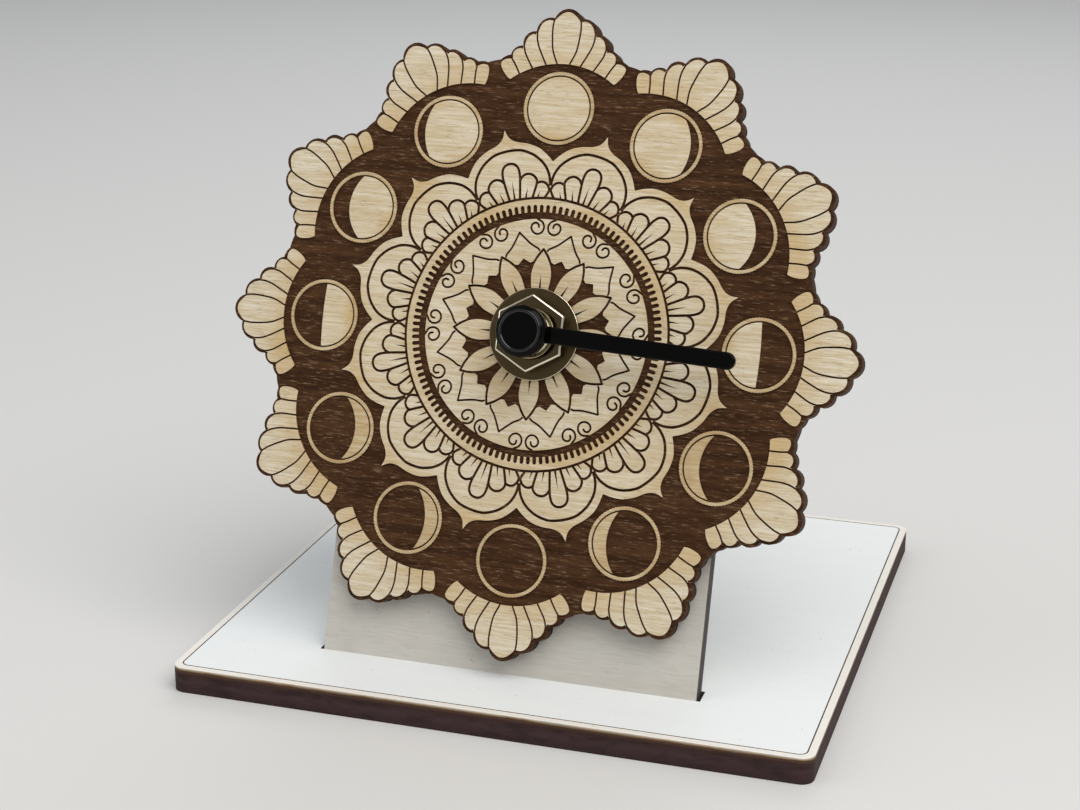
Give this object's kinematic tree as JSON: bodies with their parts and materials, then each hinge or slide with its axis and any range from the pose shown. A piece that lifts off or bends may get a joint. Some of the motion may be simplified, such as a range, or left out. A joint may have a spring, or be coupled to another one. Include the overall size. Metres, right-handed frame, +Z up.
{
  "type": "moon phase desk clock",
  "caption": "Free-standing desk clock: a round scalloped wooden dial of moon phases on a leaning board in a flat base, with one hand turned by a quartz movement behind it.",
  "frame": {"origin": "middle of the base plate's underside", "axes": "+Z up, -Y is the front that the dial faces, +X to the right seen from the front"},
  "size_m": [0.1202, 0.114, 0.1218],
  "materials": {
    "painted_ply": "thin plywood with a white satin paint, its laser-cut edges left dark",
    "engraved_birch": "pale birch plywood, engraved dark brown by a laser",
    "gasket_rubber": "soft black rubber",
    "nickel": "bright nickel plate",
    "case_plastic": "fine-grained black moulding",
    "board_green": "green solder mask",
    "bare_steel": "plain steel",
    "chip_black": "black resin",
    "white_plastic": "natural moulded plastic",
    "copper_wire": "fine enamelled copper wire",
    "battery_wrap": "plain shrink wrap with bare metal ends",
    "gloss_black": "glossy black moulding",
    "magnet_iron": "bonded magnet"
  },
  "bodies": {
    "clock_stand": {"base_plate": "painted_ply", "upright_panel": "painted_ply", "dial_plate": "engraved_birch", "rubber_gasket": "gasket_rubber", "washer": "nickel", "hex_nut": "nickel", "threaded_bushing": "nickel", "movement_case": "case_plastic", "movement_cover": "case_plastic", "circuit_board": "board_green", "quartz_crystal": "bare_steel", "clock_chip": "chip_black", "coil_core": "bare_steel", "coil_bobbin": "white_plastic", "coil_winding": "copper_wire", "stator_plate": "bare_steel", "battery_plus_contact": "bare_steel", "battery_minus_contact": "bare_steel", "battery_cell": "battery_wrap"},
    "hand": {"moon_hand": "gloss_black", "moon_arbor": "bare_steel", "setting_wheel": "white_plastic", "clutch_spring": "bare_steel"},
    "knob": {"setting_knob": "case_plastic", "setting_pinion": "white_plastic"},
    "rotor": {"rotor_magnet": "magnet_iron", "rotor_pinion": "white_plastic"},
    "reduction_6": {"reduction_wheel_6": "white_plastic"},
    "reduction_5": {"reduction_wheel_5": "white_plastic"},
    "reduction_4": {"reduction_wheel_4": "white_plastic"},
    "reduction_3": {"reduction_wheel_3": "white_plastic"},
    "reduction_2": {"reduction_wheel_2": "white_plastic"},
    "reduction_1": {"reduction_wheel_1": "white_plastic"},
    "lunar_wheel": {"moon_wheel": "white_plastic"}
  },
  "joints": [
    {"name": "hand_turn", "type": "hinge", "parent": "clock_stand", "child": "hand", "pos_m": [0, -0.0202, 0.06401], "axis": [0, -0.9426, 0.3338], "continuous": true},
    {"name": "knob_turn", "type": "hinge", "parent": "clock_stand", "child": "knob", "pos_m": [0.0102, -0.01896, 0.06751], "axis": [0, -0.9426, 0.3338], "continuous": true},
    {"name": "rotor_turn", "type": "hinge", "parent": "clock_stand", "child": "rotor", "pos_m": [0.00551, -0.01476, 0.07939], "axis": [0, -0.9426, 0.3338], "continuous": true},
    {"name": "reduction_6_turn", "type": "hinge", "parent": "clock_stand", "child": "reduction_6", "pos_m": [-0.0007, -0.01512, 0.07836], "axis": [0, -0.9426, 0.3338], "continuous": true},
    {"name": "reduction_5_turn", "type": "hinge", "parent": "clock_stand", "child": "reduction_5", "pos_m": [-0.00662, -0.01584, 0.07633], "axis": [0, -0.9426, 0.3338], "continuous": true},
    {"name": "reduction_4_turn", "type": "hinge", "parent": "clock_stand", "child": "reduction_4", "pos_m": [-0.0138, -0.01497, 0.0788], "axis": [0, -0.9426, 0.3338], "continuous": true},
    {"name": "reduction_3_turn", "type": "hinge", "parent": "clock_stand", "child": "reduction_3", "pos_m": [-0.01578, -0.01743, 0.07183], "axis": [0, -0.9426, 0.3338], "continuous": true},
    {"name": "reduction_2_turn", "type": "hinge", "parent": "clock_stand", "child": "reduction_2", "pos_m": [-0.01508, -0.02013, 0.06423], "axis": [0, -0.9426, 0.3338], "continuous": true},
    {"name": "reduction_1_turn", "type": "hinge", "parent": "clock_stand", "child": "reduction_1", "pos_m": [-0.00844, -0.01858, 0.0686], "axis": [0, -0.9426, 0.3338], "continuous": true},
    {"name": "lunar_wheel_turn", "type": "hinge", "parent": "clock_stand", "child": "lunar_wheel", "pos_m": [0, -0.0202, 0.06401], "axis": [0, -0.9426, 0.3338], "continuous": true}
  ],
  "couplings": [
    {"joint": "knob_turn", "follows": "hand_turn", "ratio": -2.875},
    {"joint": "reduction_6_turn", "follows": "rotor_turn", "ratio": -0.16667},
    {"joint": "reduction_5_turn", "follows": "rotor_turn", "ratio": 0.027778},
    {"joint": "reduction_4_turn", "follows": "rotor_turn", "ratio": -0.0037037},
    {"joint": "reduction_3_turn", "follows": "rotor_turn", "ratio": 0.00049383},
    {"joint": "reduction_2_turn", "follows": "rotor_turn", "ratio": -0.000061728},
    {"joint": "reduction_1_turn", "follows": "rotor_turn", "ratio": 0.000007716},
    {"joint": "lunar_wheel_turn", "follows": "rotor_turn", "ratio": -0.00000078468}
  ]
}
